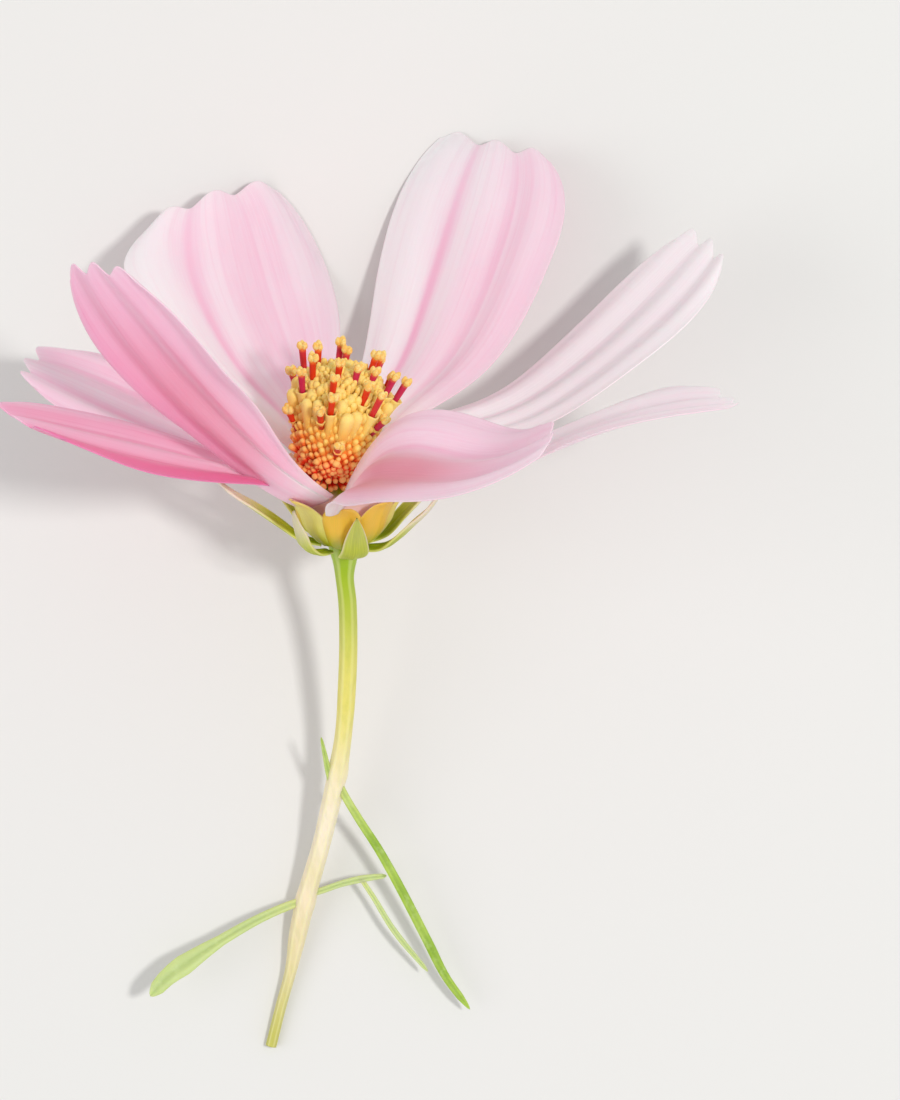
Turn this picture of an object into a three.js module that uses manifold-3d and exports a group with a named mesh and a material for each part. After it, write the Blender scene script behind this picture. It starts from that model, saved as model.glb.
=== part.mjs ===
// A cut cosmos flower lying on a table: eight pleated ray petals round a raised disc of florets,
// a cup of inner bracts, narrow outer bracts, and a thin stem with thread-like leaves.
// Millimetres. X runs to the right, Y from the cut end of the stem towards the bloom, Z up.
// The origin is on the table under the middle of the flower. Three low points carry it: the tips
// of the two back petals and the cut end of the stem.

import * as THREE from 'three';
import { mergeVertices } from 'three/addons/utils/BufferGeometryUtils.js';
import Module from 'manifold-3d';

const wasm = await Module();
wasm.setup();

// ---- Driving dimensions: millimetres and degrees ----

const hub = new THREE.Vector3(-2.39, 13.4, 21.6); // where the bloom's axis meets the petals' whorl
const bloomTilt = 28; // the bloom's axis above the table
const bloomLean = 1; // and to the right
const bladeThickness = 0.6; // petals and bracts
const leafThickness = 0.8;
const petalRows = 14;
const petalColumns = 12;
const seatGap = 0.3; // between pieces that touch
const tableReach = 0.4; // how close to the table a blade is pressed flat on it
const pleatDepth = 0.55;
const broadest = 0.72; // of the petal's length, where it is widest
const tipWidth = 0.62; // of the petal's width, at its tip
const clawRadius = [5.1, 4.3, 3.5]; // outer, middle and inner ring of petal feet
const clawHeight = [-3.2, -2.6, -2.0];

// lift: slope above the whorl's plane at the base, at 0.15 and 0.5 of the length and at the tip.
// twist: about the petal's own line at the base, at 0.3 of the length, and from 0.65 on.
// cup: half angle of the cross-section's arc at the base, at 0.3 and 0.65, and at the tip.
// lean: sideways at the base. bend: how much more at the tip.
// tooth, shoulder and skew shape the three-toothed tip.
// foot: width at the base, as a share of the petal's width. swell: how late the petal widens,
// as the power that its rise in width is raised to. claw: 0 on the outer ring, 2 on the inner one.
// trim: how much narrower one half is than the other near the base, where it isn't alike.
const petals = [
  { name: 'petal_back_right', azimuth: 59, length: 40, width: 21, lift: [70, 23, 40, 31],
    twist: [0, -6, -15], cup: [4, 1, 7, 9], lean: 0, bend: 22, tooth: 0.9, shoulder: 0.5, skew: 2.2,
    foot: 0.13, swell: 1.15, claw: 2 },
  { name: 'petal_right_upper', azimuth: 17, length: 41, width: 18, lift: [66, 14, 29, 43],
    twist: [0, -8, -13], cup: [25, 13, 14, 9], lean: 0, bend: 20, tooth: 0.8, shoulder: 1.3, skew: 1.0,
    foot: 0.13, swell: 1.15, claw: 1 },
  { name: 'petal_right_lower', azimuth: -17, length: 37, width: 16, lift: [55, 21, 31, 12],
    twist: [0, -5, -11], cup: [36, 6, 12, 13], lean: 0, bend: 4, tooth: 0.9, shoulder: 1.2, skew: -2.5,
    foot: 0.13, swell: 1.15, claw: 0 },
  { name: 'petal_front_right', azimuth: -92, length: 37.4, width: 16.4, lift: [57, 48, 18, 43],
    twist: [34, 36, 8], cup: [50, 22, 9, 6], lean: 31, bend: 33, tooth: 0.9, shoulder: 0.6, skew: -2.3,
    foot: 0.24, swell: 0.95, claw: 0 },
  { name: 'petal_front_left', azimuth: -110, length: 38.8, width: 15, lift: [35, 43, 52, 58],
    twist: [35, 38, 28], cup: [45, 24, -5, 2], lean: -38, bend: -6, tooth: 1.2, shoulder: 1.2, skew: 0,
    foot: 0.22, swell: 0.95, claw: 1, trim: 0.6 },
  { name: 'petal_left_lower', azimuth: -161, length: 31.5, width: 17.6, lift: [38, 24, 23, 29],
    twist: [0, 3, 4], cup: [14, 14, 8, 8], lean: 0, bend: 16, tooth: 1.2, shoulder: 1.2, skew: 0,
    foot: 0.1, swell: 1.3, claw: 0 },
  { name: 'petal_left_upper', azimuth: 162.5, length: 29.5, width: 15, lift: [53, 12, 18, 18],
    twist: [0, -1, 1], cup: [9, 5, 9, 8], lean: 0, bend: 7, tooth: 1.2, shoulder: 1.2, skew: 0,
    foot: 0.13, swell: 1.3, claw: 0 },
  { name: 'petal_back_left', azimuth: 124, length: 33.5, width: 24, lift: [70, 30, 28, 51],
    twist: [0, 9, 15], cup: [-3, 13, 14, -8], lean: 0, bend: -25, tooth: 1.0, shoulder: 0.9, skew: -2.4,
    foot: 0.13, swell: 1.15, claw: 0 },
];

// Disc of florets. The core's outline is [radius, height] along the disc's own axis.
const discFoot = new THREE.Vector3(-1.7, 0, -1.1); // in the bloom
const discLean = 10; // to the right of the bloom's axis
const discCore = [[0, 0], [2.4, 0], [3.1, 1.2], [3.8, 3.0], [4.3, 5.2], [4.5, 7.2], [3.6, 9.0], [0, 10.2]];
const floretCount = 60;
const floretRing = 2.8; // radius that the florets' feet fill
const floretSplay = 19; // lean of the outermost floret
const floretLength = 9.4;
const floretRadius = 0.72;
const antherRadius = 0.34;
const antherLength = 3.1;
const budCount = 26; // short unopened florets round the foot of the disc
const goldenAngle = 137.508;

// Bracts: routes are [distance from the axis, height] from base to tip. An inner bract's flare
// scales how far it spreads past the flank of the cup, and its reach says how much of the route
// it takes.
const innerBractRoute = [
  [2.6, -8.9], [3.5, -8.1], [4.5, -6.7], [5.0, -5.2], [5.7, -3.9], [6.4, -3.0], [7.3, -2.3],
];
const bractRows = 7;
const bractColumns = 4;
const bractTip = 0.16; // least share of a bract's width, at its tip
const innerBractFlank = 5.0; // radius of the cup that the inner bracts make
const innerBractWidth = 4.1;
const innerBractFirst = -92; // azimuth of the front one; the rest follow in even steps
const innerBracts = [
  { flare: 0.5, reach: 0.8 }, { flare: 0.7, reach: 0.9 }, { flare: 1, reach: 1 }, { flare: 1, reach: 1 },
  { flare: 1, reach: 0.95 }, { flare: 1.2, reach: 1 }, { flare: 1, reach: 0.84 }, { flare: 1, reach: 0.85 },
];
const outerBracts = [
  { azimuth: -78, length: 8.4, spread: 7, width: 3.0 },
  { azimuth: -25, length: 11.5, spread: 40, width: 2.3 },
  { azimuth: 20, length: 11.0, spread: 46, width: 2.3 },
  { azimuth: 64, length: 10.5, spread: 48, width: 2.3 },
  { azimuth: 109, length: 10.5, spread: 50, width: 2.3 },
  { azimuth: 147, length: 11.0, spread: 50, width: 2.2 },
  { azimuth: 184, length: 14.2, spread: 53, width: 1.9 },
  { azimuth: 230, length: 9.0, spread: 20, width: 2.0 },
];
const outerBractFoot = [2.45, -9.7];

// Stem: [x, y, z, radius] from the hub, from the cut end up to the flare under the bloom.
const stemRoute = [
  [-8.3, -61.4, -21.05, 0.55], [-7.3, -57.4, -20.8, 0.55], [-6.2, -53.4, -20.4, 0.6],
  [-5.4, -49.4, -19.8, 0.9], [-4.5, -45.5, -18.9, 0.95], [-3.0, -40.3, -17.6, 0.9],
  [-1.9, -35.8, -16.2, 0.95], [-1.2, -32.6, -15.2, 0.95], [-0.5, -28.3, -13.6, 0.85],
  [-0.1, -23.5, -11.7, 0.9], [0.1, -18.5, -9.6, 0.9], [0.05, -14.6, -7.7, 0.9],
];
// Receptacle: [height along the bloom's axis, radius], where the stem flares into the bloom's seat.
const receptacle = [
  [-13.2, 0.95], [-12.2, 1.1], [-11.3, 1.35], [-10.4, 1.6], [-9.5, 1.75], [-8.8, 1.95], [-8.0, 2.5],
  [-7.0, 3.3], [-5.8, 3.8], [-4.8, 3.85], [-4.1, 3.65], [-3.5, 3.1], [-2.6, 1.8],
];
const stemSides = 10;

// Leaves: [x, y, z] from the hub, along the middle of each blade.
const leafUpperRight = [
  [0.05, -34.0, -15.2], [0.9, -36.9, -15.9], [3.0, -40.3, -16.6], [4.9, -43.7, -17.2], [6.6, -47.0, -17.8],
  [8.3, -50.4, -18.3], [10.0, -53.8, -18.9], [12.6, -57.4, -19.5],
];
const leafUpperLeft = [[-2.7, -32.4, -14.8], [-2.4, -30.6, -14.0], [-2.3, -28.8, -13.2]];
const leafLowerLeft = [
  [-6.2, -46.4, -18.7], [-9.1, -47.6, -17.9], [-12.6, -49.5, -17.3], [-16.4, -51.9, -16.5],
  [-19.0, -53.8, -16.0], [-20.6, -55.6, -15.7],
];
const leafLowerRight = [
  [-2.85, -44.85, -18.7], [-1.0, -44.2, -18.6], [1.5, -43.6, -18.5], [3.9, -43.3, -18.5],
];
const leafLowerFork = [[1.2, -43.6, -18.5], [2.4, -45.4, -18.6], [4.4, -48.7, -18.8], [8.2, -53.4, -19.2]];

// ---- Helpers ----

const radians = THREE.MathUtils.degToRad;
const clamp01 = (x) => THREE.MathUtils.clamp(x, 0, 1);
const smooth = (x) => THREE.MathUtils.smoothstep(x, 0, 1);

// Same random numbers on every run.
function seededRandom(seed) {
  let state = seed;
  return () => {
    state = (state * 1664525 + 1013904223) % 4294967296;
    return state / 4294967296;
  };
}

// Slopes at the stations for a cubic through the values, weighted by the distances to the neighbours.
function slopes(stations, values) {
  const last = stations.length - 1;
  return stations.map((station, i) => {
    if (i === 0) return (values[1] - values[0]) / (stations[1] - station);
    if (i === last) return (values[last] - values[last - 1]) / (station - stations[last - 1]);
    const before = station - stations[i - 1];
    const after = stations[i + 1] - station;
    const rise = before * before * values[i + 1] + (after * after - before * before) * values[i];
    return (rise - after * after * values[i - 1]) / (before * after * (before + after));
  });
}

function along(stations, values, s) {
  const slope = slopes(stations, values);
  let k = 0;
  while (k < stations.length - 2 && s > stations[k + 1]) k += 1;
  const step = stations[k + 1] - stations[k];
  const t = (s - stations[k]) / step;
  const start = (2 * t ** 3 - 3 * t ** 2 + 1) * values[k] + (t ** 3 - 2 * t ** 2 + t) * step * slope[k];
  return start + (3 * t ** 2 - 2 * t ** 3) * values[k + 1] + (t ** 3 - t ** 2) * step * slope[k + 1];
}

function indexedGeometry(points, triangles) {
  const geometry = new THREE.BufferGeometry();
  const numbers = points.flatMap((point) => point.toArray());
  geometry.setAttribute('position', new THREE.Float32BufferAttribute(numbers, 3));
  geometry.setIndex(triangles);
  geometry.computeVertexNormals();
  return geometry;
}

// A closed blade: rows of middle points moved half the thickness to each side along the normals,
// both faces split into triangles alike, with a wall round the edge. settle(point, lift) may
// move each finished point, lift being how far above the lower face it lies.
function bladeGeometry(rows, thickness, settle = (point) => point) {
  const lastRow = rows.length - 1;
  const lastColumn = rows[0].length - 1;
  const wide = lastColumn + 1;
  const upper = [];
  const lower = [];
  rows.forEach((row, i) => row.forEach((point, j) => {
    const ahead = rows[Math.min(i + 1, lastRow)][j].clone().sub(rows[Math.max(i - 1, 0)][j]);
    const across = row[Math.min(j + 1, lastColumn)].clone().sub(row[Math.max(j - 1, 0)]);
    const normal = ahead.cross(across).normalize();
    upper.push(settle(point.clone().addScaledVector(normal, thickness / 2), thickness));
    lower.push(settle(point.clone().addScaledVector(normal, -thickness / 2), 0));
  }));
  const under = upper.length;
  const triangles = [];
  for (let i = 0; i < lastRow; i += 1) {
    for (let j = 0; j < lastColumn; j += 1) {
      const [a, b, c, d] = [i * wide + j, (i + 1) * wide + j, (i + 1) * wide + j + 1, i * wide + j + 1];
      triangles.push(a, b, c, a, c, d, under + a, under + c, under + b, under + a, under + d, under + c);
    }
  }
  const edge = [];
  for (let i = 0; i < lastRow; i += 1) edge.push(i * wide);
  for (let j = 0; j < lastColumn; j += 1) edge.push(lastRow * wide + j);
  for (let i = lastRow; i > 0; i -= 1) edge.push(i * wide + lastColumn);
  for (let j = lastColumn; j > 0; j -= 1) edge.push(j);
  edge.forEach((a, i) => {
    const b = edge[(i + 1) % edge.length];
    triangles.push(b, a, under + a, b, under + a, under + b);
  });
  return indexedGeometry(upper.concat(lower), triangles);
}

// A closed tube of round sections whose radius changes along the curve.
function taperedTube(curve, radii, steps, sides) {
  const frames = curve.computeFrenetFrames(steps, false);
  const points = [];
  const triangles = [];
  for (let i = 0; i <= steps; i += 1) {
    const reach = (i / steps) * (radii.length - 1);
    const k = Math.min(Math.floor(reach), radii.length - 2);
    const radius = THREE.MathUtils.lerp(radii[k], radii[k + 1], reach - k);
    const centre = curve.getPoint(i / steps);
    for (let j = 0; j < sides; j += 1) {
      const turn = (2 * Math.PI * j) / sides;
      const point = centre.clone().addScaledVector(frames.normals[i], radius * Math.cos(turn));
      points.push(point.addScaledVector(frames.binormals[i], radius * Math.sin(turn)));
    }
  }
  for (let i = 0; i < steps; i += 1) {
    for (let j = 0; j < sides; j += 1) {
      const next = (j + 1) % sides;
      const [a, b, c, d] = [i * sides + j, i * sides + next, (i + 1) * sides + next, (i + 1) * sides + j];
      triangles.push(a, b, c, a, c, d);
    }
  }
  for (let j = 1; j < sides - 1; j += 1) {
    triangles.push(0, j + 1, j);
    triangles.push(steps * sides, steps * sides + j, steps * sides + j + 1);
  }
  return indexedGeometry(points, triangles);
}

function toSolid(geometry) {
  const bare = geometry.clone();
  bare.deleteAttribute('normal');
  bare.deleteAttribute('uv');
  const merged = mergeVertices(bare, 1e-4);
  const vertProperties = new Float32Array(merged.attributes.position.array);
  const triVerts = new Uint32Array(merged.index.array);
  return new wasm.Manifold(new wasm.Mesh({ numProp: 3, vertProperties, triVerts }));
}

function toGeometry(solid) {
  const mesh = solid.getMesh();
  const geometry = new THREE.BufferGeometry();
  geometry.setAttribute('position', new THREE.BufferAttribute(new Float32Array(mesh.vertProperties), 3));
  geometry.setIndex(new THREE.BufferAttribute(new Uint32Array(mesh.triVerts), 1));
  geometry.computeVertexNormals();
  return geometry;
}

function named(name, geometry, material) {
  const mesh = new THREE.Mesh(geometry, material);
  mesh.name = name;
  return mesh;
}

const fromHub = ([x, y, z]) => new THREE.Vector3(x, y, z).add(hub);

// ---- Materials ----

const matte = (color, roughness) => new THREE.MeshStandardMaterial({ color, roughness, metalness: 0 });
const petalMaterial = matte(0xf4cad8, 0.6);
const floretMaterial = matte(0xffc24a, 0.6);
const innerBractMaterial = matte(0xc9b24a, 0.55);
const outerBractMaterial = matte(0x9db93a, 0.6);
const stemMaterial = matte(0xb9c24a, 0.5);
const leafMaterial = matte(0x97bf3c, 0.6);

// ---- Flower and bloom: the bloom's own Z is its axis, its X points right ----

const flower = new THREE.Group();
const bloom = new THREE.Group();
bloom.position.copy(hub);
bloom.rotation.set(radians(bloomTilt - 90), 0, radians(-bloomLean), 'ZXY');
flower.add(bloom);
flower.updateMatrixWorld(true);

// A blade that comes within tableReach of the table lies flat on it, its lower face at Z = 0.
function settleOnTable(point, lift) {
  const placed = bloom.localToWorld(point.clone());
  if (placed.z < lift + tableReach) placed.z = lift;
  return bloom.worldToLocal(placed);
}

// ---- Petals ----

// The petal's line starts at its claw and rises at the angles of lift while it bends sideways.
// Each cross-section is an arc of the cup angle with three pleats, turned by the twist.
function petalMiddle(petal) {
  const radial = new THREE.Vector3(Math.cos(radians(petal.azimuth)), Math.sin(radians(petal.azimuth)), 0);
  const tangent = new THREE.Vector3(-radial.y, radial.x, 0);
  const axis = new THREE.Vector3(0, 0, 1);
  const heading = (s) => {
    const lift = radians(along([0, 0.15, 0.5, 1], petal.lift, s));
    const bend = radians(petal.lean + petal.bend * s * s);
    const flat = radial.clone().multiplyScalar(Math.cos(bend)).addScaledVector(tangent, Math.sin(bend));
    const side = tangent.clone().multiplyScalar(Math.cos(bend)).addScaledVector(radial, -Math.sin(bend));
    const forward = flat.multiplyScalar(Math.cos(lift)).addScaledVector(axis, Math.sin(lift));
    return { forward, side, up: forward.clone().cross(side) };
  };
  const foot = radial.clone().multiplyScalar(clawRadius[petal.claw]);
  foot.addScaledVector(axis, clawHeight[petal.claw]);
  const substeps = 8;
  const stride = 1 / (petalRows * substeps);
  const [twistFoot, twistNear, twistFar] = petal.twist;
  const rows = [];
  for (let i = 0; i <= petalRows; i += 1) {
    const s = i / petalRows;
    const { forward, side, up } = heading(s);
    const twist = radians(along([0, 0.3, 0.65, 1], [twistFoot, twistNear, twistFar, twistFar], s));
    const across = side.clone().multiplyScalar(Math.cos(twist)).addScaledVector(up, Math.sin(twist));
    const rise = up.clone().multiplyScalar(Math.cos(twist)).addScaledVector(side, -Math.sin(twist));
    const grown = Math.sin((Math.PI / 2) * Math.min(s / broadest, 1)) ** petal.swell;
    const narrow = Math.sqrt(1 - clamp01((s - broadest) / (1 - broadest)) ** 2 * (1 - tipWidth ** 2));
    const share = s < broadest ? petal.foot + (1 - petal.foot) * grown : narrow;
    const halfWidth = (petal.width / 2) * share;
    const trimmed = 1 - (petal.trim ?? 0) * (1 - smooth(s / 0.8));
    const bow = along([0, 0.3, 0.65, 1], petal.cup, s);
    const cup = radians(Math.abs(bow) < 0.1 ? 0.1 : bow);
    const pleat = (pleatDepth / 2) * smooth(s / 0.35) * (1 - 0.35 * smooth((s - 0.7) / 0.3));
    const row = [];
    for (let j = 0; j <= petalColumns; j += 1) {
      const v = (2 * j) / petalColumns - 1;
      const wide = halfWidth * (v > 0 ? trimmed : 1);
      const sideways = (wide * Math.sin(cup * v)) / cup;
      const raised = (wide * (1 - Math.cos(cup * v))) / cup + pleat * Math.cos(3 * Math.PI * v);
      const teeth = petal.tooth * (Math.cos(3 * Math.PI * v) / 2 + 0.5) ** 0.8;
      const reach = teeth - petal.shoulder * Math.abs(v) ** 2.4 + petal.skew * v;
      const point = foot.clone().addScaledVector(across, sideways).addScaledVector(rise, raised);
      row.push(point.addScaledVector(forward, reach * smooth((s - 0.62) / 0.38)));
    }
    rows.push(row);
    for (let k = 0; k < substeps; k += 1) {
      foot.addScaledVector(heading(s + (k + 0.5) * stride).forward, petal.length * stride);
    }
  }
  return rows;
}

for (const petal of petals) {
  const geometry = bladeGeometry(petalMiddle(petal), bladeThickness, settleOnTable);
  bloom.add(named(petal.name, geometry, petalMaterial));
}

// ---- Disc of florets: one body ----

const upright = new THREE.Vector3(0, 0, 1);

// A rod from one radius to another, standing on foot and pointing along direction.
function rod(foot, direction, length, radiusFoot, radiusTop, sides) {
  const geometry = new THREE.CylinderGeometry(radiusTop, radiusFoot, length, sides);
  geometry.rotateX(Math.PI / 2);
  geometry.translate(0, 0, length / 2);
  geometry.applyQuaternion(new THREE.Quaternion().setFromUnitVectors(upright, direction));
  geometry.translate(foot.x, foot.y, foot.z);
  return toSolid(geometry);
}

// Florets stand in a spiral of golden angles, leaning out more towards the rim; every third one is
// open and shows its anther column. Shorter buds crowd round the foot.
function discFlorets() {
  const random = seededRandom(11);
  const profile = discCore.map(([radius, height]) => new THREE.Vector2(radius, height));
  const lathe = new THREE.LatheGeometry(profile, 16);
  lathe.rotateX(Math.PI / 2);
  let disc = toSolid(lathe);
  for (let i = 0; i < floretCount; i += 1) {
    const spread = Math.sqrt((i + 0.5) / floretCount);
    const turn = radians(i * goldenAngle);
    const lean = radians(floretSplay * spread ** 1.2 + 4 * (random() - 0.5));
    const outward = new THREE.Vector3(Math.cos(turn), Math.sin(turn), 0);
    const foot = outward.clone().multiplyScalar(floretRing * spread).setZ(1.2);
    const direction = outward.clone().multiplyScalar(Math.sin(lean)).setZ(Math.cos(lean));
    const length = floretLength - 1.8 * spread ** 2 + 0.8 * (random() - 0.5);
    disc = disc.add(rod(foot, direction, length, 0.4, floretRadius, 5));
    if (i % 3 === 1 && i > 4) {
      const tip = foot.clone().addScaledVector(direction, length - 0.4);
      disc = disc.add(rod(tip, direction, antherLength, antherRadius, antherRadius * 1.2, 5));
    }
  }
  for (let i = 0; i < budCount; i += 1) {
    const turn = radians((360 * (i + 0.5 * random())) / budCount);
    const lean = radians(50 - 22 * (i % 2) + 8 * random());
    const outward = new THREE.Vector3(Math.cos(turn), Math.sin(turn), 0);
    const foot = outward.clone().multiplyScalar(1.9).setZ(0.7 + 1.3 * (i % 2));
    const direction = outward.clone().multiplyScalar(Math.sin(lean)).setZ(Math.cos(lean));
    disc = disc.add(rod(foot, direction, 2.4 + 0.8 * random(), 0.5, 0.38, 5));
  }
  return toGeometry(disc);
}

const disc = named('disc_florets', discFlorets(), floretMaterial);
disc.position.copy(discFoot);
disc.rotation.y = radians(discLean);
bloom.add(disc);

// ---- Bracts ----

// A lance-shaped blade along a route of [distance, height] points, curved round the bloom's axis.
// baseShare says how far into its lance shape the blade starts, and a lower blunt makes it blunter.
// It stays within its share of the circle, less the seat gap.
function bractGeometry(route, reach, { azimuth, width, baseShare, blunt }) {
  const curve = new THREE.CatmullRomCurve3(route.map(([r, z]) => new THREE.Vector3(r, 0, z)));
  const rows = [];
  for (let i = 0; i <= bractRows; i += 1) {
    const s = i / bractRows;
    const { x: distance, z: height } = curve.getPointAt(s * reach);
    const taper = Math.sin(Math.PI * (baseShare + (1 - baseShare) * s)) ** blunt;
    const room = (Math.PI / innerBracts.length) * distance - seatGap;
    const halfWidth = Math.min((width / 2) * Math.max(taper, bractTip), room);
    const row = [];
    for (let j = 0; j <= bractColumns; j += 1) {
      const turn = radians(azimuth) + ((2 * j) / bractColumns - 1) * (halfWidth / distance);
      row.push(new THREE.Vector3(distance * Math.cos(turn), distance * Math.sin(turn), height));
    }
    rows.push(row);
  }
  return bladeGeometry(rows, bladeThickness);
}

innerBracts.forEach(({ flare, reach }, i) => {
  const azimuth = innerBractFirst + (360 * i) / innerBracts.length;
  const route = innerBractRoute.map(([distance, height]) => {
    const past = Math.max(distance - innerBractFlank, 0);
    return [distance - past + past * flare, height];
  });
  const shape = { azimuth, width: innerBractWidth, baseShare: 0.25, blunt: 0.4 };
  const geometry = bractGeometry(route, reach, shape);
  bloom.add(named(`inner_bract_${i + 1}`, geometry, innerBractMaterial));
});

// An outer bract runs out under the foot of the cup, clears its flank, leans out by its spread and
// lifts a little at the tip. Its route is a chain of [length, angle from the axis] steps.
function outerBractRoute({ length, spread }) {
  const underCup = 2.0;
  const pastFlank = 2.5;
  const free = (length - underCup - pastFlank) / 3;
  const route = [outerBractFoot];
  const start = [[underCup, 72], [pastFlank, Math.max(48, spread)]];
  const end = [[free, spread], [free, spread], [free, spread * 0.8]];
  for (const [step, angle] of start.concat(end)) {
    const [distance, height] = route.at(-1);
    route.push([distance + step * Math.sin(radians(angle)), height + step * Math.cos(radians(angle))]);
  }
  return route;
}

outerBracts.forEach((bract, i) => {
  const shape = { azimuth: bract.azimuth, width: bract.width, baseShare: 0.2, blunt: 0.8 };
  const geometry = bractGeometry(outerBractRoute(bract), 1, shape);
  bloom.add(named(`outer_bract_${i + 1}`, geometry, outerBractMaterial));
});

// ---- Stem with its receptacle ----

function stemGeometry() {
  const axis = upright.clone().transformDirection(bloom.matrixWorld);
  const points = stemRoute.map(fromHub);
  const radii = stemRoute.map((station) => station[3]);
  for (const [height, radius] of receptacle) {
    points.push(hub.clone().addScaledVector(axis, height));
    radii.push(radius);
  }
  const curve = new THREE.CatmullRomCurve3(points);
  const geometry = taperedTube(curve, radii, 2 * (points.length - 1), stemSides);
  const position = geometry.attributes.position;
  for (let i = 0; i < position.count; i += 1) position.setZ(i, Math.max(position.getZ(i), 0));
  return geometry;
}

flower.add(named('stem', stemGeometry(), stemMaterial));

// ---- Leaves: flat threads ----

// widths are given at equal steps along the leaf.
function leafGeometry(route, widths, steps) {
  const curve = new THREE.CatmullRomCurve3(route.map(fromHub));
  const columns = 2;
  const rows = [];
  for (let i = 0; i <= steps; i += 1) {
    const s = i / steps;
    const reach = s * (widths.length - 1);
    const k = Math.min(Math.floor(reach), widths.length - 2);
    const halfWidth = THREE.MathUtils.lerp(widths[k], widths[k + 1], reach - k) / 2;
    const across = upright.clone().cross(curve.getTangentAt(s)).normalize();
    const centre = curve.getPointAt(s);
    const row = [];
    for (let j = 0; j <= columns; j += 1) {
      row.push(centre.clone().addScaledVector(across, halfWidth * ((2 * j) / columns - 1)));
    }
    rows.push(row);
  }
  return bladeGeometry(rows, leafThickness);
}

const upperRight = leafGeometry(leafUpperRight, [0.9, 1.0, 1.1, 1.1, 0.8], 14);
flower.add(named('leaf_upper_right', upperRight, leafMaterial));
flower.add(named('leaf_upper_left', leafGeometry(leafUpperLeft, [0.7, 0.5, 0.3], 4), leafMaterial));
const lowerLeft = leafGeometry(leafLowerLeft, [0.9, 1.0, 1.2, 2.2, 1.4], 12);
flower.add(named('leaf_lower_left', lowerLeft, leafMaterial));
const fork = toSolid(leafGeometry(leafLowerFork, [0.6, 0.9, 1.0, 0.6], 8));
const forkedLeaf = toSolid(leafGeometry(leafLowerRight, [0.9, 0.9, 1.1, 0.6], 6)).add(fork);
flower.add(named('leaf_lower_right', toGeometry(forkedLeaf), leafMaterial));

export default flower;
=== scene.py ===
import bpy
import numpy as np
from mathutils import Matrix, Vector


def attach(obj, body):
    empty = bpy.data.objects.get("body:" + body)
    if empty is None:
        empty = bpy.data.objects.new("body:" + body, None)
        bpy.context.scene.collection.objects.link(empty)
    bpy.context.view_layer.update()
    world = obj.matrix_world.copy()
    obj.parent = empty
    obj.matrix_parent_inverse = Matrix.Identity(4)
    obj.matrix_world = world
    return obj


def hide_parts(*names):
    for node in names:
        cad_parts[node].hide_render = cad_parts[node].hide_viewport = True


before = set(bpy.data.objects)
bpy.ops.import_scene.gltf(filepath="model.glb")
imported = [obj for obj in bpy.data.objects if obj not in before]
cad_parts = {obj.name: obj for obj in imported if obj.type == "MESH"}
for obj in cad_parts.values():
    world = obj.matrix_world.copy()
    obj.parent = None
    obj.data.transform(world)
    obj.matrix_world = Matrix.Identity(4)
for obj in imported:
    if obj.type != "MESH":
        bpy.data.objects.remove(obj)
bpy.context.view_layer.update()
print("frame loaded:", len(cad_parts), "nodes")

bloomPlace = {
    "hub": (-2.39, 13.4, 21.6),  # where the bloom's axis meets the petals' whorl
    "tilt": 28.0,  # the bloom's axis above the table
    "lean": 1.0,  # and to the right
}


def turnAbout(axis, degrees):
    # Rotation matrix about the x, y or z axis: the one about x, with its rows and columns moved on.
    c, s, moved = np.cos(np.radians(degrees)), np.sin(np.radians(degrees)), "xyz".index(axis)
    return np.roll([[1, 0, 0], [0, c, -s], [0, s, c]], (moved, moved), (0, 1))


bloomTurn = turnAbout("z", -bloomPlace["lean"]) @ turnAbout("x", bloomPlace["tilt"] - 90)
hub = np.array(bloomPlace["hub"])


def fromBloom(points):
    # Bloom coordinates, whose Z is the bloom's axis, to the table's.
    return points @ bloomTurn.T + hub


def smooth(x):
    # Eases from 0 to 1: three times the square less twice the cube.
    x = np.clip(x, 0, 1)
    return x * x * (3 - 2 * x)


def bell(x, middle, width, power=2):
    # 1 at the middle and falling away to both sides within the width.
    return np.exp(-(((x - middle) / width) ** power))


def along(stations, values, s):
    # Cubic through the values at the stations, its slopes weighted by the neighbours' distances.
    x, y = np.asarray(stations, float), np.asarray(values, float)
    slope = np.gradient(y, x, axis=0)
    k = np.clip(np.searchsorted(x, s, side="left") - 1, 0, len(x) - 2)
    step = x[k + 1] - x[k]
    t = (s - x[k]) / step
    if y.ndim == 2:
        step, t = step[..., None], t[..., None]
    start = (2 * t**3 - 3 * t**2 + 1) * y[k] + (t**3 - 2 * t**2 + t) * step * slope[k]
    return start + (3 * t**2 - 2 * t**3) * y[k + 1] + (t**3 - t**2) * step * slope[k + 1]


def route(points, count):
    # Points at even distances on a smooth curve through the given ones.
    points = np.asarray(points, float)
    chord = np.concatenate([[0], np.cumsum(np.linalg.norm(np.diff(points, axis=0), axis=1))])
    fine = along(chord, points, np.linspace(0, chord[-1], 40 * len(points)))
    run = np.concatenate([[0], np.cumsum(np.linalg.norm(np.diff(fine, axis=0), axis=1))])
    even = np.linspace(0, run[-1], count)
    return np.stack([np.interp(even, run, fine[:, k]) for k in range(fine.shape[1])], axis=1)


def unit(vectors):
    # Each vector divided by its length.
    return vectors / np.maximum(np.linalg.norm(vectors, axis=-1, keepdims=True), 1e-12)


def spokes(turn):
    # Unit vectors out from an upright axis at the given angles.
    return np.stack([np.cos(turn), np.sin(turn), 0 * turn], -1)


def roundTurn(sides):
    # Even angles all the way round.
    return np.linspace(0, 2 * np.pi, sides, endpoint=False)


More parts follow.
